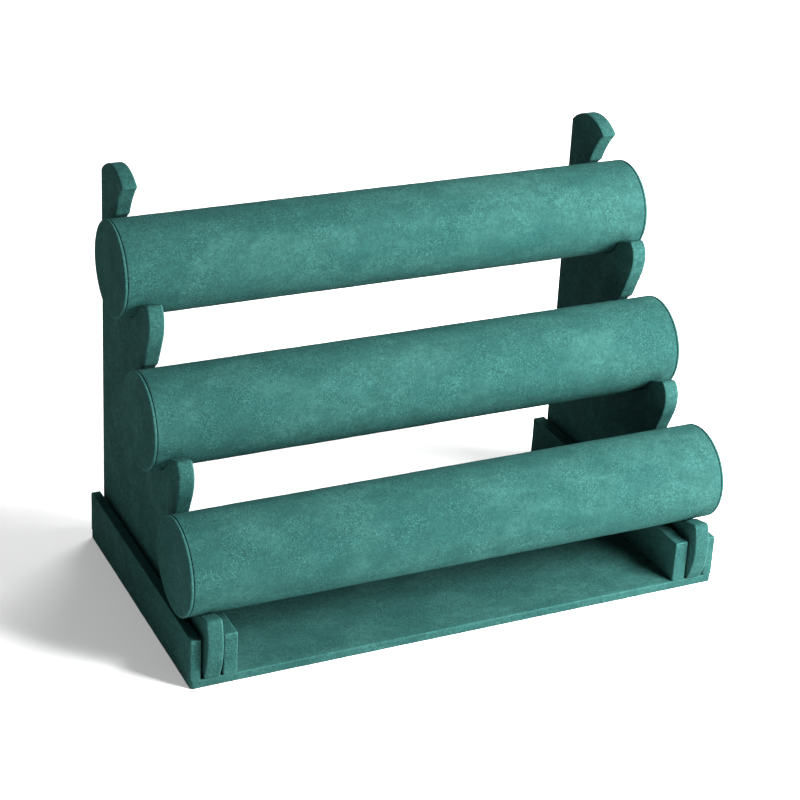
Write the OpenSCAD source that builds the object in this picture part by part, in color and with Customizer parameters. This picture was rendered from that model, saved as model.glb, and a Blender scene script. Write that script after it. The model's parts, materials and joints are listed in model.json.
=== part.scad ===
// Three tier bracelet display stand: three suede covered bars lie in the cradles of two stepped
// brackets, which stand in channels between the rails of a suede covered base.
// +Z is up, the front faces -Y, and the origin is on the ground below the middle of the stand.

/* [Base] */
// Width of the base
base_w = 325; // [250:1:450]
// Depth of the base, from its front edge to its back edge
base_d = 174; // [168:1:230]
// Thickness of the covered base
base_t = 5; // [4:0.5:10]
// Rounding of the upright corners of the base
base_corner_r = 1.5; // [1:0.5:8]
// Width of the cover that is turned under the base as a hem
hem_w = 16; // [8:1:30]

/* [Rails] */
// Height of the rails above the base
rail_h = 25; // [15:1:26]
// Width of each outer rail
outer_rail_w = 5.8; // [4:0.2:12]
// Width of each inner rail
inner_rail_w = 8; // [5:0.5:16]
// Rounding of the upper edges of the rails
rail_edge_r = 1; // [0.9:0.1:1.8]

/* [Bars] */
// Diameter of the covered bars
bar_d = 55; // [48:1:58]
// How far each bar stands out past the side of the base
bar_over = 0.5; // [-3:0.5:20]
// Distance of the lower bar's axis behind the front edge of the base
lower_setback = 26; // [24:1:30]
// Height of the lower bar's underside above the tops of the rails
lower_rise = 3.5; // [1:0.5:12]
// Distance of the middle bar's axis behind the lower bar's
middle_setback = 58.6; // [57:0.1:62]
// Height of the middle bar's axis above the lower bar's
middle_rise = 58.3; // [57:0.1:70]
// Distance of the upper bar's axis in front of the back edge of the base
upper_setback = 40.3; // [36:0.1:46]
// Height of the upper bar's axis above the middle bar's
upper_rise = 69.7; // [66:0.1:80]
// Wall of the tube inside each bar
tube_wall = 3; // [1.5:0.5:8]
// Thickness of the card disc that closes each end
disc_t = 0.8; // [0.6:0.1:3]
// Groove between the sleeve's edge and the covered disc
groove_w = 0.6; // [0.3:0.1:2]
// Gap where the two long edges of the sleeve meet
seam_gap = 0.4; // [0.2:0.1:1]

/* [Brackets] */
// Thickness of the covered brackets
bracket_t = 9; // [6:0.5:16]
// Gap between a bracket and the rail on each side of it
channel_gap = 1.9; // [0.3:0.1:4]
// How much larger the radius of a cradle is than the bar's
cradle_play = 1; // [0.3:0.1:3]
// Gap under a bar where it lies in its cradle
seat_gap = 0.1; // [0.05:0.05:0.3]
// Thickness of a lip, from the foremost point of the cradle to the front of the lip
lip_t = 14.7; // [10:0.1:20]
// Height of a bar's axis above the foremost point of its lip
lip_drop = 17.2; // [12:0.1:22]
// Height of a lip above its foremost point
lip_rise = 9.3; // [7:0.1:10]
// Radius of the front of a lip above its foremost point
lip_upper_r = 11.5; // [10.5:0.5:20]
// Rounding of a lip's upper front corner
lip_top_r = 2; // [1:0.5:4]
// Greatest slope of a lip's top, which falls from the front to the cradle
lip_slope = 20; // [0:1:24]
// Radius of the front of a lip below its foremost point
lip_front_r = 28; // [20:1:40]
// Greatest lean of the straight run below a lip, from the upright
lip_lean = 25; // [18:1:30]
// How far the toe of a bracket stands out in front of the base
toe_out = 5.4; // [3:0.1:7]
// Height of the toe's foremost point above the base
toe_front_h = 21; // [15:1:24]
// Radius of the toe's front
toe_front_r = 45; // [40:1:60]
// Height of the lower bar's axis above the highest point of the toe
toe_drop = 19.5; // [16:0.5:22]
// Rounding of the toe's upper front corner
toe_top_r = 2; // [1:0.5:6]
// Greatest slope of the toe's top, which falls from the front to the cradle
toe_slope = 14; // [0:1:18]
// Height of the horn's crown above the upper bar's axis
horn_rise = 52; // [48:1:60]
// Radius of the horn's crown
horn_r = 28; // [24:1:34]
// Distance of the horn's crown in front of the bracket's back edge
horn_back = 19.5; // [16:0.5:24]
// Radius of the hollow under the horn's tip
scoop_r = 60; // [56:1:64]
// Distance of the hollow's centre in front of the upper bar's axis
scoop_ahead = 40; // [36:1:44]
// Height of the hollow's centre above the upper bar's axis
scoop_up = 2; // [0:1:4]

/* [Cover] */
// Thickness of the suede cover
wrap_t = 0.6; // [0.4:0.1:0.8]

/* [Hidden] */
$fn = 96;
suede = "#3c7f74";
board = "#b08f66";
card = "#8d7f6b";
liner = "#2b2d2d";
// Overshoot that keeps a cut clear of the face it opens
eps = 1;
// How deep a run below a lip dips into the cradle that it grazes
graze_d = 0.2;
// How far the sloping top of a lip or the toe stays above the bottom of its cradle
top_clear = 0.5;
// The ground plan is centred between the toes and the back edge
back_y = (base_d + toe_out) / 2;
front_y = back_y - base_d;
bar_l = base_w + 2 * bar_over;
bar_r = bar_d / 2;
cradle_r = bar_r + cradle_play;
channel_w = bracket_t + 2 * channel_gap;
outer_rail_x = base_w / 2 - outer_rail_w;
bracket_x = outer_rail_x - channel_gap - bracket_t;
inner_rail_x = outer_rail_x - channel_w - inner_rail_w;
// Axis of each bar in the side view, as [y, z], from the lowest to the highest
lower_axis = [front_y + lower_setback, base_t + rail_h + lower_rise + bar_r];
middle_axis = lower_axis + [middle_setback, middle_rise];
upper_axis = [back_y - upper_setback, middle_axis.y + upper_rise];
BAR_AXES = [lower_axis, middle_axis, upper_axis];
// A cradle is a little larger than the bar, so its centre lies higher by the difference
CRADLES = [for (axis = BAR_AXES) [axis.x, axis.y + cradle_play - seat_gap]];

// Plan of the base, set in from its edges by inset, with rounded upright corners
module base_plan(inset) {
    r = base_corner_r - inset;
    w = base_w - 2 * inset;
    d = base_d - 2 * inset;
    translate([0, back_y - base_d / 2]) {
        square([w - 2 * r, d], center = true);
        square([w, d - 2 * r], center = true);
        for (sx = [-1, 1], sy = [-1, 1])
            translate([sx * (w / 2 - r), sy * (d / 2 - r)])
                circle(r);
    }
}

// Fibreboard inside the base
module base_board_core() {
    translate([0, 0, wrap_t])
        linear_extrude(base_t - 2 * wrap_t)
            base_plan(wrap_t);
}

// Rectangle on the underside that the hem leaves open
module hem_window(height) {
    translate([0, back_y - base_d / 2, height / 2])
        cube([base_w - 2 * hem_w, base_d - 2 * hem_w, height], center = true);
}

module base_board() {
    color(board)
        base_board_core();
}

// Suede over the top and the edges of the board, turned under as a hem
module base_cover() {
    color(suede)
        difference() {
            linear_extrude(base_t)
                base_plan(0);
            base_board_core();
            translate([0, 0, -eps])
                hem_window(wrap_t + 2 * eps);
        }
}

// Backing sheet that fills the window in the hem
module base_liner() {
    color(liner)
        hem_window(wrap_t);
}

// Section across a rail, set in by inset on the top and sides, with rounded upper edges
module rail_section(w, inset) {
    r = rail_edge_r - inset;
    h = rail_h - inset;
    translate([inset, 0])
        square([w - 2 * inset, h - r]);
    translate([inset + r, 0])
        square([w - 2 * inset - 2 * r, h]);
    for (x = [inset + r, w - inset - r])
        translate([x, h - r])
            circle(r);
}

// Run of a rail's section from the front of the base to its back, set in by inset at each end
module rail_run(x, w, inset) {
    translate([x, back_y - inset, base_t])
        rotate([90, 0, 0])
            linear_extrude(base_d - 2 * inset)
                rail_section(w, inset);
}

module rail_core(x, w) {
    color(board)
        rail_run(x, w, wrap_t);
}

// Suede round a rail's sides, top and ends
module rail_cover(x, w) {
    color(suede)
        difference() {
            rail_run(x, w, 0);
            rail_run(x, w, wrap_t);
        }
}

// The upper front corner of a lip or the toe is rounded between the arc of its front and its top. The
// top falls towards the cradle, no further than lets it end above the cradle's bottom.
function corner_centre(arc, arc_r, r, top_z) =
    [arc.x - sqrt((arc_r - r) ^ 2 - (top_z - r - arc.y) ^ 2), top_z - r];

function top_slope(own, centre, top_z, greatest) =
    min(greatest, atan((top_z - own.y + cradle_r - top_clear) / (own.x - centre.x)));

// Where the top leaves the rounding, and where it passes below the cradle's centre
function top_start(centre, r, slope, inset) = centre + (r - inset) * [sin(slope), cos(slope)];

function top_end(own, start, slope) = [own.x, start.y - tan(slope) * (own.x - start.x)];

// Front of a lip or the toe under its sloping top, in the side view, down to foot_z
module front_block(own, arc, arc_r, r, top_z, greatest, foot_z, inset) {
    centre = corner_centre(arc, arc_r, r, top_z);
    slope = top_slope(own, centre, top_z, greatest);
    start = top_start(centre, r, slope, inset);
    // Where the two arcs meet, on the line through both centres
    meet = arc + (arc_r - inset) * (centre - arc) / (arc_r - r);
    intersection() {
        translate(arc)
            circle(arc_r - inset);
        polygon([
            [arc.x - arc_r, foot_z],
            [arc.x, foot_z],
            top_end(own, start, slope),
            start,
            centre,
            meet,
            [arc.x - arc_r, meet.y],
        ]);
    }
    translate(centre)
        circle(r - inset);
}

// One lip and the block behind it, in the side view. tier is 1 for the middle bar and 2 for the upper.
// The front is an arc over the foremost point, an arc below it, and a straight run that leans back into
// the cradle of the tier below, where it ends at the point nearest that cradle's centre. The run leans
// no further than lets it graze that cradle.
module lip_block(tier, inset) {
    own = CRADLES[tier];
    below = CRADLES[tier - 1];
    front = own.x - cradle_r - lip_t;
    foremost_z = BAR_AXES[tier].y - lip_drop;
    top_z = foremost_z + lip_rise;
    upper_arc = [front + lip_upper_r, foremost_z];
    centre = corner_centre(upper_arc, lip_upper_r, lip_top_r, top_z);
    slope = top_slope(own, centre, top_z, lip_slope);
    start = top_start(centre, lip_top_r, slope, inset);
    arc = [front + lip_front_r, foremost_z];
    gap = arc - below;
    graze = atan2(gap.y, gap.x) - acos(min(1, (lip_front_r + cradle_r - graze_d) / norm(gap)));
    lean = min(lip_lean, graze);
    out = [-cos(lean), -sin(lean)];
    run_start = arc + (lip_front_r - inset) * out;
    run = [sin(lean), -cos(lean)];
    run_end = run_start + run * ((below - run_start) * run);
    front_block(own, upper_arc, lip_upper_r, lip_top_r, top_z, lip_slope, foremost_z, inset);
    intersection() {
        translate(arc)
            circle(lip_front_r - inset);
        translate([front, foremost_z - lip_front_r])
            square([2 * lip_front_r, lip_front_r]);
    }
    polygon([
        start,
        [front + inset, foremost_z],
        run_start,
        run_end,
        below,
        [back_y - inset, below.y],
        [back_y - inset, own.y],
        own,
        top_end(own, start, slope),
    ]);
}

// Toe in front of and under the lower bar, with the block behind it, in the side view
module toe_block(inset) {
    own = CRADLES[0];
    arc = [front_y - toe_out + toe_front_r, base_t + toe_front_h];
    top_z = BAR_AXES[0].y - toe_drop;
    front_block(own, arc, toe_front_r, toe_top_r, top_z, toe_slope, base_t, inset);
    translate([own.x, base_t])
        square([back_y - inset - own.x, own.y - base_t]);
}

// Horn behind the upper bar, in the side view: a round crown with a pointed tip, hollowed underneath
module horn_block(inset) {
    own = CRADLES[2];
    axis = BAR_AXES[2];
    crown = [back_y - horn_back, axis.y + horn_rise - horn_r];
    difference() {
        intersection() {
            union() {
                translate(crown)
                    circle(horn_r - inset);
                translate([own.x, own.y])
                    square([back_y - own.x, crown.y - own.y]);
            }
            translate([own.x - horn_r, own.y])
                square([back_y - inset - own.x + horn_r, horn_rise]);
        }
        intersection() {
            translate([axis.x - scoop_ahead, axis.y + scoop_up])
                circle(scoop_r + inset);
            translate([axis.x - 2 * scoop_r, own.y])
                square([4 * scoop_r, scoop_r + inset + eps]);
        }
    }
}

// Whole side view of a bracket, set in by inset from every edge but the foot
module bracket_outline(inset) {
    difference() {
        union() {
            toe_block(inset);
            lip_block(1, inset);
            lip_block(2, inset);
            horn_block(inset);
        }
        for (centre = CRADLES)
            translate(centre)
                circle(cradle_r + inset);
    }
}

// Bracket plate whose left face is at x
module bracket_plate(x, inset) {
    translate([x + inset, 0, 0])
        rotate([90, 0, 90])
            linear_extrude(bracket_t - 2 * inset)
                bracket_outline(inset);
}

module bracket_board(x) {
    color(board)
        bracket_plate(x, wrap_t);
}

// Suede over both faces and all the edges of a bracket but the foot, which stands on the base
module bracket_cover(x) {
    color(suede)
        difference() {
            bracket_plate(x, 0);
            bracket_plate(x, wrap_t);
        }
}

// Turns a piece made round +Z into one round the bar's axis
module on_bar(tier) {
    axis = BAR_AXES[tier];
    translate([0, axis.x, axis.y])
        rotate([0, 90, 0])
            children();
}

// Length of the tube, without a disc and its cover at each end
tube_l = bar_l - 2 * (disc_t + wrap_t);
tube_r = bar_r - wrap_t;

module bar_tube(tier) {
    color(card)
        on_bar(tier)
            difference() {
                cylinder(h = tube_l, r = tube_r, center = true);
                cylinder(h = tube_l + 2 * eps, r = tube_r - tube_wall, center = true);
            }
}

// Suede rolled round the tube, its long edges meeting at the back
module bar_sleeve(tier) {
    sleeve_l = tube_l - 2 * groove_w;
    color(suede)
        on_bar(tier)
            difference() {
                cylinder(h = sleeve_l, r = bar_r, center = true);
                cylinder(h = sleeve_l + 2 * eps, r = tube_r, center = true);
                translate([0, bar_r, 0])
                    cube([seam_gap, bar_r, sleeve_l + 2 * eps], center = true);
            }
}

// Card disc against the tube's end. side is -1 on the left and 1 on the right.
module end_disc(tier, side) {
    color(card)
        on_bar(tier)
            translate([0, 0, side * (tube_l + disc_t) / 2])
                cylinder(h = disc_t, r = tube_r, center = true);
}

// Suede over a disc's outer face and its rim
module end_disc_cover(tier, side) {
    color(suede)
        on_bar(tier)
            difference() {
                translate([0, 0, side * (tube_l + disc_t + wrap_t) / 2])
                    cylinder(h = disc_t + wrap_t, r = bar_r, center = true);
                translate([0, 0, side * (tube_l + disc_t - eps) / 2])
                    cylinder(h = disc_t + eps, r = tube_r, center = true);
            }
}

base_board();
base_cover();
base_liner();

rail_core(-base_w / 2, outer_rail_w);  // rail_left_outer_core
rail_cover(-base_w / 2, outer_rail_w);  // rail_left_outer_cover
rail_core(-inner_rail_x - inner_rail_w, inner_rail_w);  // rail_left_inner_core
rail_cover(-inner_rail_x - inner_rail_w, inner_rail_w);  // rail_left_inner_cover
rail_core(inner_rail_x, inner_rail_w);  // rail_right_inner_core
rail_cover(inner_rail_x, inner_rail_w);  // rail_right_inner_cover
rail_core(outer_rail_x, outer_rail_w);  // rail_right_outer_core
rail_cover(outer_rail_x, outer_rail_w);  // rail_right_outer_cover

bracket_board(-bracket_x - bracket_t);  // bracket_left_board
bracket_cover(-bracket_x - bracket_t);  // bracket_left_cover
bracket_board(bracket_x);  // bracket_right_board
bracket_cover(bracket_x);  // bracket_right_cover

bar_tube(0);  // lower_bar_tube
bar_sleeve(0);  // lower_bar_sleeve
end_disc(0, -1);  // lower_bar_left_disc
end_disc_cover(0, -1);  // lower_bar_left_disc_cover
end_disc(0, 1);  // lower_bar_right_disc
end_disc_cover(0, 1);  // lower_bar_right_disc_cover

bar_tube(1);  // middle_bar_tube
bar_sleeve(1);  // middle_bar_sleeve
end_disc(1, -1);  // middle_bar_left_disc
end_disc_cover(1, -1);  // middle_bar_left_disc_cover
end_disc(1, 1);  // middle_bar_right_disc
end_disc_cover(1, 1);  // middle_bar_right_disc_cover

bar_tube(2);  // upper_bar_tube
bar_sleeve(2);  // upper_bar_sleeve
end_disc(2, -1);  // upper_bar_left_disc
end_disc_cover(2, -1);  // upper_bar_left_disc_cover
end_disc(2, 1);  // upper_bar_right_disc
end_disc_cover(2, 1);  // upper_bar_right_disc_cover
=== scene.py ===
"""Looks of a three tier bracelet stand covered in teal suede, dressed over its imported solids.

Each suede cover is one surface with soft wrapped edges, worked out with numpy in millimetres. The
boards, tubes, discs and liner stay as the solids that they are and get a material of their own.
"""
import json
import math

import bpy
import numpy as np
from mathutils import Matrix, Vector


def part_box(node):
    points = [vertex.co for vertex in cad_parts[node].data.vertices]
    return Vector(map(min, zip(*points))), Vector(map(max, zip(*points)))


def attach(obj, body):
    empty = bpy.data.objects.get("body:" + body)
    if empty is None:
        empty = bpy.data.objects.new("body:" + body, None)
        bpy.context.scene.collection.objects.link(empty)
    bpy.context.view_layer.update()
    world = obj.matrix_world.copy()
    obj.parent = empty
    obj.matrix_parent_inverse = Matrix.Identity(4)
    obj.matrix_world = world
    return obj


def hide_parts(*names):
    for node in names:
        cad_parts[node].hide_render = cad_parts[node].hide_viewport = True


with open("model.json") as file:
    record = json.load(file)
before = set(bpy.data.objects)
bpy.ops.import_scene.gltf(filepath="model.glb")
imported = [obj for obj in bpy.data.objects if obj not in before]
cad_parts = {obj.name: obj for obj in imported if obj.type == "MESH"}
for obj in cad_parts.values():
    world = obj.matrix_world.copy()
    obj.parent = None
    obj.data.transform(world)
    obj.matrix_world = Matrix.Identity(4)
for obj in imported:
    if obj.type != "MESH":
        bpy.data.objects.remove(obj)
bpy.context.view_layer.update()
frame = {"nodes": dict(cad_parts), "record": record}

MM = 0.001
BODY = "root"

# Sizes

# Rounding of the suede where it is wrapped over an edge, in mm
BRACKET_EDGE_R = 1.1
RAIL_EDGE_R = 0.8
BASE_EDGE_R = 0.8
HEM_EDGE_R = 0.45
FOOT_EDGE_R = 0.5
SLEEVE_EDGE_R = 0.5
# Gap left between the liner under the base and the hem round it
LINER_GAP = 0.5
DISC_RIM_R = 0.6
# Rounding of the base's upright corners
BASE_CORNER_R = 1.8
# How much lighter the folded edges are painted, from 0 to 1: a painted highlight where the rounded edges
# catch light, partly rubbed nap
BRACKET_HIGHLIGHT_AND_WEAR = 0.6
BASE_HIGHLIGHT_AND_WEAR = 0.3
RAIL_HIGHLIGHT_AND_WEAR = 0.55
DISC_HIGHLIGHT_AND_WEAR = 0.5
# Half the gap between the two long edges of a sleeve
SEAM_HALF_GAP = 0.06
# How far a sleeve's nap fills the groove beside each disc
GROOVE_NAP = 0.2
# How hollow the face of an end disc is in its middle
DISC_HOLLOW = 0.22
# Suede thickness
SUEDE_T = 0.6
# How far a skin stands off the solid under it, so that the two never share a face
SKIN_GAP = 0.02
# Least thickness of a sleeve where its edges turn down, so that its outside never meets its inside
THIN_T = 0.03

# Side view of a bracket, as in the solids, in mm
LIP_T = 14.7
LIP_DROP = 17.2
LIP_RISE = 9.3
LIP_UPPER_R = 11.5
LIP_TOP_R = 2.0
LIP_SLOPE = math.radians(20.0)
LIP_FRONT_R = 28.0
LIP_LEAN = math.radians(25.0)
TOE_OUT = 5.4
TOE_FRONT_H = 21.0
TOE_FRONT_R = 45.0
TOE_DROP = 19.5
TOE_TOP_R = 2.0
TOE_SLOPE = math.radians(14.0)
TOP_CLEAR = 0.5
# How deep the straight run below a lip dips into the cradle that it grazes
GRAZE_D = 0.2
HORN_RISE = 52.0
HORN_R = 28.0
HORN_BACK = 19.5
SCOOP_R = 60.0
SCOOP_AHEAD = 40.0
SCOOP_UP = 2.0
CRADLE_PLAY = 1.0
SEAT_GAP = 0.1


def node_box(name):
    """Lowest and highest corner of a solid, in mm."""
    low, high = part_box(name)
    return np.array(low) / MM, np.array(high) / MM


def bar_line(bar):
    """Axis of a bar as (y, z), its radius and half its length, in mm."""
    low, high = node_box(bar + "_bar_left_disc_cover")
    middle = (low + high) / 2
    return middle[1], middle[2], (high[2] - low[2]) / 2, -low[0]


# Surfaces

def ripple(a, b, seed):
    """Soft unevenness between -1 and 1 over two lengths in mm.

    Four sine waves of different direction, 17 to 61 mm long, are summed and divided by their number.
    The phases come from the seed by a fixed rule, so nothing is random.
    """
    waves = ((61.0, 0.35), (43.0, 1.25), (29.0, 2.15), (17.0, 2.85))
    total = 0.0
    for i, (length, turn) in enumerate(waves):
        phase = math.fmod(seed * 12.9898 + i * 4.1414, 2 * math.pi)
        total = total + np.sin(2 * math.pi * (a * math.cos(turn) + b * math.sin(turn)) / length + phase)
    return total / len(waves)


def arc(centre, radius, start, end, step=1.2):
    """Points on a circle from angle start to angle end, in radians, at most step mm apart."""
    n = max(3, int(math.ceil(abs(end - start) * radius / step)) + 1)
    t = np.linspace(start, end, n)
    return np.column_stack([centre[0] + radius * np.cos(t), centre[1] + radius * np.sin(t)])


def angle_to(centre, point):
    """Direction from centre to point, from 0 to a full turn."""
    return math.atan2(point[1] - centre[1], point[0] - centre[0]) % (2 * math.pi)


def even_loop(points, step):
    """A closed loop's points placed again at even distances along it, about step mm apart."""
    ring = np.vstack([points, points[:1]])
    run = np.concatenate([[0.0], np.cumsum(np.linalg.norm(np.diff(ring, axis=0), axis=1))])
    n = int(round(run[-1] / step))
    s = np.arange(n) * run[-1] / n
    return np.column_stack([np.interp(s, run, ring[:, k]) for k in range(ring.shape[1])])


def softened(loop, step, sigma):
    """A closed loop with its corners rounded: each point becomes the mean of its neighbours, weighted
    by a bell curve of width sigma mm along the loop."""
    reach = int(math.ceil(3 * sigma / step))
    offsets = np.arange(-reach, reach + 1)
    weights = np.exp(-0.5 * (offsets * step / sigma) ** 2)
    weights /= weights.sum()
    return sum(w * np.roll(loop, k, axis=0) for w, k in zip(weights, offsets))


def outward(loop):
    """Unit normals of a closed loop in its own plane, pointing out of the area that it holds."""
    along = np.roll(loop, -1, axis=0) - np.roll(loop, 1, axis=0)
    along /= np.linalg.norm(along, axis=1)[:, None]
    x, y = loop[:, 0], loop[:, 1]
    area = np.sum(x * np.roll(y, -1) - y * np.roll(x, -1)) / 2
    side = 1.0 if area > 0 else -1.0
    return np.column_stack([along[:, 1], -along[:, 0]]) * side


def inset_loop(loop, normal, depth):
    """A closed loop moved inwards by depth.

    At a corner tighter than depth the moved points come out nearer to the loop than depth, in a small
    knot. They are put on the straight line between the last good point before them and the next one.
    """
    if depth < 0.01:
        return loop
    moved = loop - normal * depth
    gap = np.sqrt(((moved[:, None] - loop[None]) ** 2).sum(axis=2).min(axis=1))
    least = 0.97 * depth
    good = gap > least
    i = np.arange(len(loop))
    return np.column_stack([np.interp(i, i[good], moved[good, k], period=len(loop)) for k in (0, 1)])


def skin(name, grid, edge_highlight_and_wear, node):
    """Makes one closed mesh piece from a grid and puts it on the stand in place of its solid.

    grid holds points in mm as rows by columns. The columns close round, and a flat face closes the first
    and the last row. The third argument says from 0 to 1 how much an edge is painted lighter: a painted
    highlight where the rounded edge catches light, partly rubbed nap. The volume is the sum of the
    wedges between each face and the origin, and where it comes out negative all faces are turned round.
    """
    rows, cols = grid.shape[:2]
    points = grid.reshape(-1, 3)
    index = np.arange(rows * cols).reshape(rows, cols)
    index = np.hstack([index, index[:, :1]])
    quads = np.stack([index[:-1, :-1], index[:-1, 1:], index[1:, 1:], index[1:, :-1]], -1).reshape(-1, 4)
    a, b, c, d = (points[quads[:, k]] for k in range(4))
    volume = np.einsum("ij,ij->", a, np.cross(b, c)) + np.einsum("ij,ij->", a, np.cross(c, d))
    for rim, turn in ((grid[0], -1), (grid[-1], 1)):
        around = np.cross(rim, np.roll(rim, -1, axis=0))
        volume += turn * np.einsum("ij,j->", around, rim.mean(axis=0))
    faces = quads.tolist() + [index[0, :-1][::-1].tolist(), index[-1, :-1].tolist()]
    if volume < 0:
        faces = [face[::-1] for face in faces]
    mesh = bpy.data.meshes.new(name)
    mesh.from_pydata((points * MM).tolist(), [], faces)
    mesh.update()
    mesh.polygons.foreach_set("use_smooth", [True] * len(quads) + [False, False])
    layer = mesh.attributes.new("edge_highlight_and_wear", "FLOAT", "POINT")
    layer.data.foreach_set("value", np.broadcast_to(edge_highlight_and_wear, (rows, cols)).reshape(-1).astype(np.float32))
    piece = bpy.data.objects.new(name, mesh)
    bpy.context.scene.collection.objects.link(piece)
    piece.data.materials.append(SUEDE)
    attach(piece, BODY)
    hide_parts(node)


def bracket_loop():
    """Side view of a bracket as a closed loop of (y, z) in mm.

    It runs up the straight back, over the horn's crown to its tip, down the hollow under it, and then
    for each bar round the cradle, over the lip and down its front, and ends round the toe to the foot.
    """
    low, high = node_box("bracket_left_cover")
    back, foot = high[1], low[2]
    bars = [bar_line(bar) for bar in ("lower", "middle", "upper")]
    cradles = [np.array([y, z + CRADLE_PLAY - SEAT_GAP]) for y, z, _, _ in bars]
    cradle_r = bars[0][2] + CRADLE_PLAY

    y, z = bars[2][:2]
    crown = np.array([back - HORN_BACK, z + HORN_RISE - HORN_R])
    scoop = np.array([y - SCOOP_AHEAD, z + SCOOP_UP])
    tip = circles_meet(crown, HORN_R, scoop, SCOOP_R)[1]
    enter = circles_meet(scoop, SCOOP_R, cradles[2], cradle_r)[0]
    pieces = [np.array([[back, foot]])]
    start = math.acos((back - crown[0]) / HORN_R)
    pieces.append(arc(crown, HORN_R, start, angle_to(crown, tip)))
    pieces.append(arc(scoop, SCOOP_R, angle_to(scoop, tip), angle_to(scoop, enter)))
    for tier in (2, 1):
        own, below = cradles[tier], cradles[tier - 1]
        front = own[0] - cradle_r - LIP_T
        foremost = bars[tier][1] - LIP_DROP
        upper = np.array([front + LIP_UPPER_R, foremost])
        pieces += crest(own, cradle_r, enter, upper, LIP_UPPER_R, LIP_TOP_R, foremost + LIP_RISE, LIP_SLOPE,
                        math.pi)
        middle = np.array([front + LIP_FRONT_R, foremost])
        gap = middle - below
        reach = (LIP_FRONT_R + cradle_r - GRAZE_D) / np.hypot(*gap)
        graze = math.atan2(gap[1], gap[0]) - math.acos(min(1, reach))
        lean = min(LIP_LEAN, graze)
        pieces.append(arc(middle, LIP_FRONT_R, math.pi, math.pi + lean))
        run_from = middle - LIP_FRONT_R * np.array([math.cos(lean), math.sin(lean)])
        enter = line_meets(run_from, np.array([math.sin(lean), -math.cos(lean)]), below, cradle_r)
        pieces.append(enter[None])
    middle = np.array([low[1] + TOE_FRONT_R, foot + TOE_FRONT_H])
    pieces += crest(cradles[0], cradle_r, enter, middle, TOE_FRONT_R, TOE_TOP_R, bars[0][1] - TOE_DROP,
                    TOE_SLOPE, math.pi + math.asin(TOE_FRONT_H / TOE_FRONT_R))
    return np.vstack(pieces)


def crest(own, cradle_r, enter, middle, front_r, corner_r, top, slope, end):
    """Outline from a cradle, entered at enter, over the lip or toe in front of it.

    It runs round the cradle's arc, up a top that rises by slope, round a corner of radius corner_r that
    touches both the top and the front's arc, and down that arc to the angle end.
    """
    round_z = top - corner_r
    round_y = middle[0] - math.sqrt((front_r - corner_r) ** 2 - (round_z - middle[1]) ** 2)
    slope = min(slope, math.atan((top - own[1] + cradle_r - TOP_CLEAR) / (own[0] - round_y)))
    edge = np.array([round_y, round_z]) + corner_r * np.array([math.sin(slope), math.cos(slope)])
    lip = line_meets(edge, np.array([math.cos(slope), -math.sin(slope)]), own, cradle_r)
    meet = angle_to(middle, (round_y, round_z))
    start = angle_to(own, enter)
    return [arc(own, cradle_r, start - 2 * math.pi * (start > math.pi), angle_to(own, lip) - 2 * math.pi),
            arc((round_y, round_z), corner_r, math.pi / 2 - slope, meet),
            arc(middle, front_r, meet, end)]


def line_meets(start, run, centre, radius):
    """Where a line from start along the unit vector run first meets a circle."""
    half = (centre - start) @ run
    off = np.linalg.norm(start + half * run - centre)
    return start + (half - math.sqrt(radius ** 2 - off ** 2)) * run


def circles_meet(a, ra, b, rb):
    """The two points where two circles cross, the one on the left of the way from a to b first."""
    d = b - a
    dist = np.linalg.norm(d)
    along = (ra ** 2 - rb ** 2 + dist ** 2) / (2 * dist)
    off = math.sqrt(ra ** 2 - along ** 2)
    unit = d / dist
    side = np.array([-unit[1], unit[0]])
    return a + along * unit + off * side, a + along * unit - off * side


def edge_profile(low, high, r_low, r_high, steps=5, flat=5):
    """Section across a wrapped edge from one face to the other, as (place, inset, painted highlight).

    place runs from low to high, and inset is how far the skin lies inside the outline there: a quarter
    circle of radius r at each side and a straight band between. The painted highlight, where the rounded
    edge catches light and the nap is partly rubbed, is 1 in the middle of each quarter circle and 0 on the
    flats.
    """
    t = np.linspace(0, math.pi / 2, steps)
    glow = np.sin(2 * t) ** 2
    first = np.column_stack([low + r_low * (1 - np.cos(t)), r_low * (1 - np.sin(t)), glow])
    last = np.column_stack([high - r_high * (1 - np.cos(t)), r_high * (1 - np.sin(t)), glow])[::-1]
    band = np.linspace(low + r_low, high - r_high, flat + 2)[1:-1]
    middle = np.column_stack([band, np.zeros(flat), np.zeros(flat)])
    return np.vstack([first, middle, last])


def make_bracket(side):
    """Suede over one bracket: its outline carried across the thickness by a rounded edge profile.

    At place x the outline is moved inwards along its normals by the profile's inset, and the band
    between the two rounded edges swells and dips by up to 0.08 mm.
    """
    step = 0.6
    loop = softened(even_loop(bracket_loop(), step), step, 0.6)
    normal = outward(loop)
    node = "bracket_%s_cover" % side
    low, high = node_box(node)
    profile = edge_profile(low[0], high[0], BRACKET_EDGE_R, BRACKET_EDGE_R)
    place, inset, edge_highlight_and_wear = profile.T
    run = np.arange(len(loop)) * step
    swell = 0.08 * ripple(run[None, :], place[:, None], 3 if side == "left" else 8)
    swell = swell * (inset[:, None] < 0.01)
    plane = np.array([inset_loop(loop, normal, depth) for depth in inset])
    plane = plane + normal[None] * swell[..., None]
    plane[..., 1] = np.maximum(plane[..., 1], low[2] + SKIN_GAP)
    grid = np.concatenate([np.broadcast_to(place[:, None, None], plane.shape[:2] + (1,)), plane], axis=2)
    skin("bracket_%s_suede" % side, grid, BRACKET_HIGHLIGHT_AND_WEAR * edge_highlight_and_wear[:, None], node)


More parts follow.
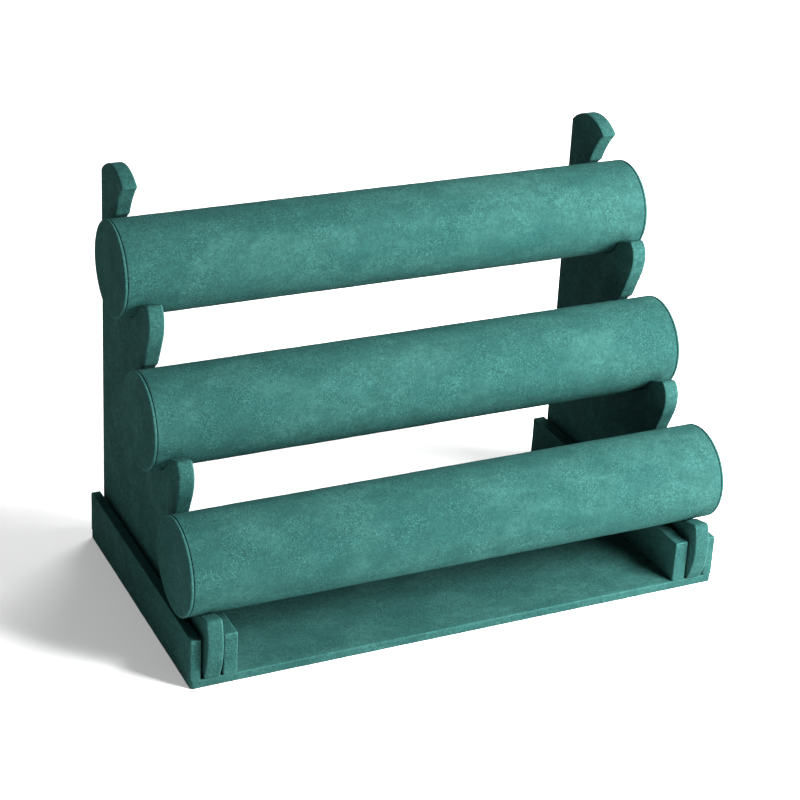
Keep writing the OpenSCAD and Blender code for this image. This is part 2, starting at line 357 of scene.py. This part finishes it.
def rail_loop(width, height, inset, steps=6):
    """Section of a rail as a closed loop of (x, z) from its left foot, set in by inset, in mm, and how
    much each of its points is painted lighter: a painted highlight where the rounded corners catch light,
    partly rubbed nap.

    The corners are quarter circles, large ones at the top and small ones at the foot.
    """
    r = max(RAIL_EDGE_R - inset * 0.5, 0.3)
    f = max(FOOT_EDGE_R - inset * 0.5, 0.2)
    t = np.linspace(0, math.pi / 2, steps)
    left, right, top, bottom = inset, width - inset, height - inset, inset * 0.5
    climb = np.linspace(bottom + f, top - r, 14)[1:-1]
    across = np.linspace(left + r, right - r, 6)[1:-1]
    under = np.linspace(right - f, left + f, 6)[1:-1]
    corners = [
        np.column_stack([left + f - f * np.sin(t), bottom + f - f * np.cos(t)]),
        np.column_stack([np.full(climb.size, left), climb]),
        np.column_stack([left + r - r * np.cos(t), top - r + r * np.sin(t)]),
        np.column_stack([across, np.full(across.size, top)]),
        np.column_stack([right - r + r * np.sin(t), top - r + r * np.cos(t)]),
        np.column_stack([np.full(climb.size, right), climb[::-1]]),
        np.column_stack([right - f + f * np.cos(t), bottom + f - f * np.sin(t)]),
        np.column_stack([under, np.full(under.size, bottom)]),
    ]
    # Painted highlight on each corner, strongest on the top corners and weaker at the foot
    glow = [np.sin(2 * t) ** 2 * 0.3, np.zeros(climb.size), np.sin(2 * t) ** 2, np.zeros(across.size),
            np.sin(2 * t) ** 2, np.zeros(climb.size), np.sin(2 * t) ** 2 * 0.3, np.zeros(under.size)]
    return np.vstack(corners), np.concatenate(glow)


def make_rail(side, place, seed):
    """Suede over one rail: its section carried from front to back, and set in round a quarter circle at
    each end, where it is folded over the end of the board. The long faces wave by up to 0.07 mm."""
    node = "rail_%s_%s_cover" % (side, place)
    low, high = node_box(node)
    size = high - low
    stations = edge_profile(low[1], high[1], RAIL_EDGE_R, RAIL_EDGE_R, steps=5, flat=110)
    grid, edge_highlight_and_wear = [], []
    for y, inset, glow in stations:
        loop, edge = rail_loop(size[0], size[2], inset)
        wave = 0.07 * ripple(np.full(len(loop), y), loop[:, 1] * 2 + loop[:, 0], seed)
        wave = wave * (1 if inset < 0.01 else 0)
        x = low[0] + loop[:, 0] + wave * np.sign(loop[:, 0] - size[0] / 2)
        grid.append(np.column_stack([x, np.full(len(loop), y), low[2] + loop[:, 1]]))
        edge_highlight_and_wear.append(RAIL_HIGHLIGHT_AND_WEAR * np.maximum(edge, glow * (loop[:, 1] > 1)))
    skin("rail_%s_%s_suede" % (side, place), np.array(grid), np.array(edge_highlight_and_wear), node)


def make_base():
    """Suede over the base: its plan carried up through the thickness by a rounded edge profile.

    The edges swell by up to 0.1 mm and dip by up to 0.2 mm along the rim, where the suede is pulled
    round the board, and the top has rows of points of its own, so that it dips by up to 0.12 mm. Below,
    the plan is drawn in to the hem's inner edge and turned up round the window that the liner fills.
    """
    low, high = node_box("base_cover")
    size = high - low
    r, step = BASE_CORNER_R, 1.0
    half = size[:2] / 2
    centre = (low[:2] + high[:2]) / 2
    corners = []
    for sx, sy, start in ((1, 1, 0), (-1, 1, 90), (-1, -1, 180), (1, -1, 270)):
        corners.append(arc((centre[0] + sx * (half[0] - r), centre[1] + sy * (half[1] - r)), r,
                           math.radians(start), math.radians(start + 90), step=0.4))
    loop = even_loop(np.vstack(corners), step)
    normal = outward(loop)
    run = np.arange(len(loop)) * step
    profile = edge_profile(low[2], high[2], HEM_EDGE_R, BASE_EDGE_R, steps=6, flat=3)
    place, inset, edge_highlight_and_wear = profile.T
    long_waves = ripple(run[None, :] * 1.7, place[:, None] * 3, 5)
    short_waves = ripple(run[None, :] * 4.3, 0, 11)
    swell = 0.10 * long_waves + 0.05 * short_waves - 0.05
    plane = loop[None] - normal[None] * (inset[:, None] - swell)[..., None]
    grid = np.concatenate([plane, np.broadcast_to(place[:, None, None], plane.shape[:2] + (1,))], axis=2)
    # The underside runs from the bottom of the liner's window, round the hem's inner edge, to the rim
    liner_low, liner_high = node_box("base_liner")
    window = (liner_high - liner_low)[:2] / 2 + LINER_GAP
    hem = ((window, SUEDE_T - SKIN_GAP), (window, 0.15), (window + 0.15, 0.0), (window + 1.0, 0.0),
           (half - 1.5, 0.0))
    below = [np.column_stack([centre + (loop - centre) * reach / half, np.full(len(loop), low[2] + rise)])
             for reach, rise in hem]
    # The top closes in towards the middle line in steps
    rim = grid[-1]
    spine = rim.copy()
    spine[:, 0] = np.clip(rim[:, 0], low[0] + half[1], high[0] - half[1])
    spine[:, 1] = centre[1]
    shares = np.linspace(0, 1, 34)[1:] * 0.995
    top = rim[None] + (spine - rim)[None] * shares[:, None, None]
    dip = 0.06 * ripple(top[..., 0], top[..., 1], 21) - 0.06
    top[..., 2] = rim[:, 2] + dip * np.minimum(1, shares * 12)[:, None]
    grid = np.concatenate([np.array(below), grid, top])
    edge_highlight_and_wear = np.concatenate([np.zeros(len(below)), edge_highlight_and_wear, np.zeros(len(shares))])
    skin("base_suede", grid, BASE_HIGHLIGHT_AND_WEAR * edge_highlight_and_wear[:, None], "base_cover")


def make_sleeve(bar, seed):
    """Suede rolled round a bar's tube, open along a butt seam at the back.

    Rows run round the bar from one edge of the seam to the other. Along a row the skin goes over the
    outside, round each end, and back along the inside, so that the piece is a closed thin shell. The
    outside swells by up to 0.08 mm and dips by up to 0.12 mm, and both edges of the seam turn down over
    0.6 mm.
    """
    low, high = node_box(bar + "_bar_sleeve")
    y, z, radius, _ = bar_line(bar)
    left, right = low[0] - GROOVE_NAP, high[0] + GROOVE_NAP
    t = np.linspace(0, math.pi / 2, 5)
    along = SLEEVE_EDGE_R * (1 - np.cos(t))
    down = SLEEVE_EDGE_R * (1 - np.sin(t))
    outside = np.linspace(left + SLEEVE_EDGE_R, right - SLEEVE_EDGE_R, 214)[1:-1]
    inside = np.linspace(right, left, 12)[1:-1]
    x = np.concatenate([[left], left + along, outside, (right - along)[::-1], [right], inside])
    depth = np.concatenate([[SUEDE_T], down, np.zeros(outside.size), down[::-1], [SUEDE_T],
                            np.full(inside.size, SUEDE_T)])
    # The turn is counted from the back, where the seam is
    seam = SEAM_HALF_GAP / radius
    near = np.array([0.0, 0.12, 0.3, 0.6]) / radius
    first = seam * 2 + 1 / radius
    between = np.linspace(first, 2 * math.pi - first, 252)
    turn = np.concatenate([seam + near, between, 2 * math.pi - seam - near[::-1]])
    turned_down = np.array([0.45, 0.22, 0.08, 0.02])
    fall = np.concatenate([turned_down, np.zeros(between.size), turned_down[::-1]])
    swell = 0.10 * ripple(x[None, :], turn[:, None] * radius, seed) - 0.02
    swell = np.where(depth[None, :] < 0.01, swell, 0.0)
    deepest = SUEDE_T - SKIN_GAP - THIN_T * (depth < SUEDE_T)
    radial = radius - np.minimum(depth[None, :] + fall[:, None] - swell, deepest[None, :])
    grid = np.stack([np.broadcast_to(x, radial.shape), y + radial * np.cos(turn)[:, None],
                     z + radial * np.sin(turn)[:, None]], axis=2)
    skin(bar + "_bar_suede", grid, 0.0, bar + "_bar_sleeve")


def make_disc(bar, side, seed):
    """Suede over an end disc: a cup turned round the bar's axis.

    Its section runs from the middle of the face out to the rim, round a quarter circle, back along the
    rim, down into the groove, over the bottom of the groove and in again under it. The face is up to
    0.22 mm hollow, softly uneven, and highest near the rim.
    """
    node = "%s_bar_%s_disc_cover" % (bar, side)
    y, z, radius, reach = bar_line(bar)
    low, high = node_box(node)
    thick = high[0] - low[0]
    t = np.linspace(0, math.pi / 2, 6)
    r = DISC_RIM_R
    out = np.linspace(0.6, radius - r, 26)[:-1]
    hollow = DISC_HOLLOW * (1 - (out / (radius - r)) ** 4)
    radial = np.concatenate([out, radius - r + r * np.sin(t),
                             [radius, radius - 0.1, radius - 0.35, radius - 0.5, radius - 0.5, radius - 0.58,
                              radius - SUEDE_T, 0.6]])
    depth = np.concatenate([hollow, r * (1 - np.cos(t)),
                            [thick - 0.2, thick - 0.05, thick, thick + 0.05, thick + 0.38, thick + 0.38,
                             SUEDE_T, SUEDE_T]])
    # The rim is painted lighter all round, most in the middle of its rounding: a painted highlight where it
    # catches light, partly rubbed nap
    rim = DISC_HIGHLIGHT_AND_WEAR * (0.35 + 0.65 * np.sin(2 * t) ** 2)
    edge_highlight_and_wear = np.concatenate([np.zeros(out.size), rim, [0.4 * DISC_HIGHLIGHT_AND_WEAR, 0, 0, 0, 0, 0, 0, 0]])
    angle = np.arange(128) * 2 * math.pi / 128
    flat = np.stack([radial[:, None] * np.cos(angle), radial[:, None] * np.sin(angle)], axis=2)
    uneven = 0.07 * ripple(flat[..., 0] * 1.5, flat[..., 1] * 1.5, seed)
    level = depth[:, None] - np.where((np.arange(radial.size) < out.size)[:, None], uneven, 0)
    level = np.maximum(level, 0.0)
    sign = 1 if side == "right" else -1
    grid = np.concatenate([(sign * (reach - level))[..., None], flat + np.array([y, z])], axis=2)
    skin("%s_bar_%s_end_suede" % (bar, side), grid, edge_highlight_and_wear[:, None], node)


# Materials

def linear(code):
    """sRGB hex colour as linear red, green, blue and alpha."""
    parts = [int(code[i:i + 2], 16) / 255 for i in (1, 3, 5)]
    return tuple(v / 12.92 if v <= 0.04045 else ((v + 0.055) / 1.055) ** 2.4 for v in parts) + (1.0,)


def add(tree, kind, links=None, **settings):
    """Adds a node. settings name its own properties or, else, its inputs; links name the input to feed."""
    node = tree.nodes.new("ShaderNode" + kind)
    for name, value in settings.items():
        if hasattr(node, name):
            setattr(node, name, value)
        else:
            node.inputs[name.replace("_", " ")].default_value = value
    for name, source in (links or {}).items():
        tree.links.new(source, node.inputs[name])
    return node


def new_material(name):
    """An empty material, its node tree and its output node."""
    material = bpy.data.materials.new(name)
    material.use_nodes = True
    tree = material.node_tree
    tree.nodes.clear()
    return material, tree, tree.nodes.new("ShaderNodeOutputMaterial")


def noise(tree, place, size_mm, detail=2.0, roughness=0.5, distortion=0.0):
    """Noise whose lumps are about size_mm across, on coordinates in metres."""
    return add(tree, "TexNoise", {"Vector": place}, Scale=1.0 / (size_mm * MM), Detail=detail,
               Roughness=roughness, Distortion=distortion).outputs["Fac"]


def spread(tree, value, low, high, out_low=0.0, out_high=1.0):
    """value from low to high becomes out_low to out_high, smoothly and without overshoot."""
    return add(tree, "MapRange", {"Value": value}, interpolation_type="SMOOTHSTEP", From_Min=low,
               From_Max=high, To_Min=out_low, To_Max=out_high).outputs["Result"]


def blend(tree, share, a, b):
    """Two colours mixed by share. a and b are sockets or colours."""
    node = add(tree, "Mix", data_type="RGBA")
    if isinstance(share, float):
        node.inputs[0].default_value = share
    else:
        tree.links.new(share, node.inputs[0])
    for socket, value in ((node.inputs[6], a), (node.inputs[7], b)):
        if isinstance(value, tuple):
            socket.default_value = value
        else:
            tree.links.new(value, socket)
    return node.outputs[2]


def suede_material():
    """Teal microfibre suede: a dense brushed nap about 0.3 mm long.

    The nap lies in drifts some 30 by 50 mm wide that look lighter or darker, and breaks up into tufts of
    2 to 4 mm. Dark specks show where it parts, more of them in some patches than in others, and light
    ones where fibres stand together. Wrapped edges are painted lighter: a painted highlight where the
    rounded edges catch light, partly rubbed nap. Fibres that stand up catch the light at a glancing angle,
    which the sheen gives.
    """
    material, tree, output = new_material("teal_microfibre_suede")
    place = add(tree, "TexCoord").outputs["Object"]
    # Brushing along the stand draws the large marks out sideways
    brushed = add(tree, "VectorMath", {0: place}, operation="MULTIPLY")
    brushed.inputs[1].default_value = (0.6, 1.0, 1.0)
    drift = spread(tree, noise(tree, brushed.outputs[0], 30, 2.0, 0.5, 0.6), 0.34, 0.66)
    smear = spread(tree, noise(tree, brushed.outputs[0], 8, 3.0, 0.6, 0.4), 0.28, 0.72)
    tuft = spread(tree, noise(tree, place, 2.8, 3.0, 0.65), 0.30, 0.70)
    # Single fibre ends are about 0.05 mm; the specks that they group into are near 0.9 mm
    speck = spread(tree, noise(tree, place, 0.9, 2.0, 0.75), 0.44, 0.68)
    apart = add(tree, "VectorMath", {0: place}, operation="SCALE", Scale=1.31).outputs[0]
    glint = spread(tree, noise(tree, apart, 1.1, 2.0, 0.75), 0.46, 0.72)
    patch = spread(tree, noise(tree, place, 16, 2.0, 0.5), 0.36, 0.64, 0.35, 1.0)
    colour = blend(tree, drift, linear("#1d403d"), linear("#274b47"))
    colour = blend(tree, smear, blend(tree, 0.50, colour, linear("#14312f")), colour)
    colour = blend(tree, tuft, blend(tree, 0.45, colour, linear("#132f2d")), colour)
    dark = add(tree, "Math", {0: speck, 1: patch}, operation="MULTIPLY").outputs[0]
    colour = blend(tree, dark, colour, blend(tree, 0.52, colour, linear("#0f2221")))
    light = add(tree, "Math", {0: glint, 1: patch}, operation="MULTIPLY").outputs[0]
    colour = blend(tree, light, colour, blend(tree, 0.36, colour, linear("#3e716b")))
    # Wrapped edges painted lighter, unevenly: a painted highlight where the rounded edges catch light,
    # partly rubbed nap
    edge_highlight_and_wear = add(tree, "Attribute", attribute_name="edge_highlight_and_wear").outputs["Fac"]
    uneven = spread(tree, noise(tree, place, 2.2, 2.0), 0.3, 0.7, 0.25, 0.6)
    highlight_and_wear_mask = add(tree, "Math", {0: edge_highlight_and_wear, 1: uneven}, operation="MULTIPLY").outputs[0]
    colour = blend(tree, highlight_and_wear_mask, colour, linear("#467d79"))
    height = add(tree, "Math", {0: tuft, 1: speck}, operation="SUBTRACT").outputs[0]
    bump = add(tree, "Bump", {"Height": height}, Strength=0.4, Distance=0.00015)
    shader = add(tree, "BsdfPrincipled", {"Base Color": colour, "Normal": bump.outputs["Normal"]},
                 Roughness=0.95)
    shader.inputs["Specular IOR Level"].default_value = 0.03
    shader.inputs["Sheen Weight"].default_value = 0.02
    shader.inputs["Sheen Roughness"].default_value = 0.45
    shader.inputs["Sheen Tint"].default_value = linear("#4fa394")
    tree.links.new(shader.outputs[0], output.inputs["Surface"])
    return material


def fibreboard_material():
    """Raw fibreboard: pressed wood fibres, pale brown with fine darker flecks and no grain."""
    material, tree, output = new_material("raw_fibreboard")
    place = add(tree, "TexCoord").outputs["Object"]
    fleck = spread(tree, noise(tree, place, 1.1, 3.0, 0.7), 0.35, 0.7)
    cloud = noise(tree, place, 18, 2.0)
    colour = blend(tree, cloud, linear("#a98960"), linear("#b8996f"))
    colour = blend(tree, fleck, blend(tree, 0.35, colour, linear("#7a5d3c")), colour)
    bump = add(tree, "Bump", {"Height": fleck}, Strength=0.3, Distance=0.0001)
    shader = add(tree, "BsdfPrincipled", {"Base Color": colour, "Normal": bump.outputs["Normal"]},
                 Roughness=0.85)
    tree.links.new(shader.outputs[0], output.inputs["Surface"])
    return material


def card_material():
    """Wound grey-brown card: soft recycled fibre with specks, matt."""
    material, tree, output = new_material("wound_greyboard_card")
    place = add(tree, "TexCoord").outputs["Object"]
    speck = spread(tree, noise(tree, place, 0.9, 2.0, 0.6), 0.3, 0.65)
    cloud = noise(tree, place, 12, 2.0)
    colour = blend(tree, cloud, linear("#857764"), linear("#958871"))
    colour = blend(tree, speck, blend(tree, 0.3, colour, linear("#5f5546")), colour)
    bump = add(tree, "Bump", {"Height": speck}, Strength=0.25, Distance=0.0001)
    shader = add(tree, "BsdfPrincipled", {"Base Color": colour, "Normal": bump.outputs["Normal"]},
                 Roughness=0.9)
    tree.links.new(shader.outputs[0], output.inputs["Surface"])
    return material


def felt_material():
    """Dark needled felt: matted fibres with a fine fuzzy mottle, no gloss."""
    material, tree, output = new_material("dark_needled_felt")
    place = add(tree, "TexCoord").outputs["Object"]
    mat = spread(tree, noise(tree, place, 1.6, 4.0, 0.7, 1.2), 0.3, 0.7)
    colour = blend(tree, mat, linear("#1d2020"), linear("#353a39"))
    bump = add(tree, "Bump", {"Height": mat}, Strength=0.5, Distance=0.0002)
    shader = add(tree, "BsdfPrincipled", {"Base Color": colour, "Normal": bump.outputs["Normal"]},
                 Roughness=0.95)
    shader.inputs["Sheen Weight"].default_value = 0.2
    tree.links.new(shader.outputs[0], output.inputs["Surface"])
    return material


def floor_material():
    """Matt white paper sweep, lit a little from below so that shadows on it stay pale."""
    material, tree, output = new_material("matt_white_paper")
    shader = add(tree, "BsdfPrincipled", Roughness=0.9)
    shader.inputs["Base Color"].default_value = linear("#f6f6f6")
    shader.inputs["Specular IOR Level"].default_value = 0.1
    shader.inputs["Emission Color"].default_value = (1.0, 1.0, 1.0, 1.0)
    shader.inputs["Emission Strength"].default_value = 0.24
    tree.links.new(shader.outputs[0], output.inputs["Surface"])
    return material


# Stage, lights and camera

def make_floor():
    """A flat pale floor, large enough to fill the view."""
    half = 6.0
    corners = [(-half, -half, 0), (half, -half, 0), (half, half, 0), (-half, half, 0)]
    mesh = bpy.data.meshes.new("floor")
    mesh.from_pydata(corners, [], [(0, 1, 2, 3)])
    floor = bpy.data.objects.new("floor", mesh)
    bpy.context.scene.collection.objects.link(floor)
    floor.data.materials.append(floor_material())


def aimed(name, data, place, target):
    """Puts a light at place, turned to shine at target, both in metres."""
    lamp = bpy.data.objects.new(name, data)
    bpy.context.scene.collection.objects.link(lamp)
    z = np.array(place, float) - np.array(target, float)
    z /= np.linalg.norm(z)
    x = np.cross((0.0, 0.0, 1.0), z)
    x /= np.linalg.norm(x)
    y = np.cross(z, x)
    matrix = np.eye(4)
    matrix[:3, 0], matrix[:3, 1], matrix[:3, 2], matrix[:3, 3] = x, y, z, place
    lamp.matrix_world = Matrix(matrix.tolist())


def soft_box(name, place, width, height, power, target=(0.0, 0.0, 0.1)):
    """A rectangular studio lamp: its place and target and its width and height in metres, its power in W."""
    data = bpy.data.lights.new(name, "AREA")
    data.shape = "RECTANGLE"
    data.size, data.size_y, data.energy = width, height, power
    aimed(name, data, place, target)


def make_lights():
    """A soft box from the front right, a weaker one higher up on the right, a wide dim one overhead, one
    for the floor behind, and an even pale surround."""
    soft_box("key", (0.50, -0.60, 0.52), 0.4, 0.4, 40)
    soft_box("side", (0.60, -0.30, 0.72), 0.35, 0.35, 8)
    soft_box("overhead", (0.0, 0.0, 1.65), 1.4, 1.4, 6)
    soft_box("behind", (1.1, 1.2, 1.2), 1.0, 1.0, 28, (0.6, 0.8, 0.0))
    world = bpy.data.worlds.new("studio")
    world.use_nodes = True
    background = world.node_tree.nodes["Background"]
    background.inputs["Color"].default_value = (1.0, 1.0, 1.0, 1.0)
    background.inputs["Strength"].default_value = 0.28
    bpy.context.scene.world = world
    bpy.context.scene.view_settings.view_transform = "Standard"


def make_camera():
    """The photograph's camera: its place, turn and lens were fitted to the edges of the stand.

    The lens is shifted a little, because the stand's picture isn't centred on the camera's axis.
    """
    place = np.array([-0.48731, -0.96608, 0.62945])
    azimuth, elevation, roll = math.radians(24.8547), math.radians(23.1808), math.radians(2.4576)
    focal_px, frame_px = 2092.77, 800
    centre_px = (350.5, 300.5)
    ahead = np.array([math.sin(azimuth) * math.cos(elevation), math.cos(azimuth) * math.cos(elevation),
                      -math.sin(elevation)])
    level = np.array([math.cos(azimuth), -math.sin(azimuth), 0.0])
    upright = np.cross(level, ahead)
    right = math.cos(roll) * level + math.sin(roll) * upright
    top = math.cos(roll) * upright - math.sin(roll) * level
    data = bpy.data.cameras.new("camera")
    data.sensor_width = 36.0
    data.lens = focal_px / frame_px * data.sensor_width
    data.shift_x = (frame_px / 2 - centre_px[0]) / frame_px
    data.shift_y = (centre_px[1] - frame_px / 2) / frame_px
    data.clip_start, data.clip_end = 0.05, 50.0
    camera = bpy.data.objects.new("camera", data)
    bpy.context.scene.collection.objects.link(camera)
    matrix = np.eye(4)
    matrix[:3, 0], matrix[:3, 1], matrix[:3, 2], matrix[:3, 3] = right, top, -ahead, place
    camera.matrix_world = Matrix(matrix.tolist())
    bpy.context.scene.camera = camera


# The scene

SUEDE = suede_material()

make_camera()
make_lights()
make_floor()

make_base()
seed = 1
for side in ("left", "right"):
    make_bracket(side)
    for place in ("outer", "inner"):
        make_rail(side, place, seed)
        seed += 3
for bar in ("lower", "middle", "upper"):
    make_sleeve(bar, seed)
    seed += 3
    for side in ("left", "right"):
        make_disc(bar, side, seed)
        seed += 3

finishes = {"fibreboard": fibreboard_material(), "card": card_material(), "liner": felt_material(),
            "suede": SUEDE}
for row in frame["record"]["subparts"]:
    node = frame["nodes"].get(row["node"])
    if node is not None:
        node.data.materials.clear()
        node.data.materials.append(finishes[row["material_slot"]])
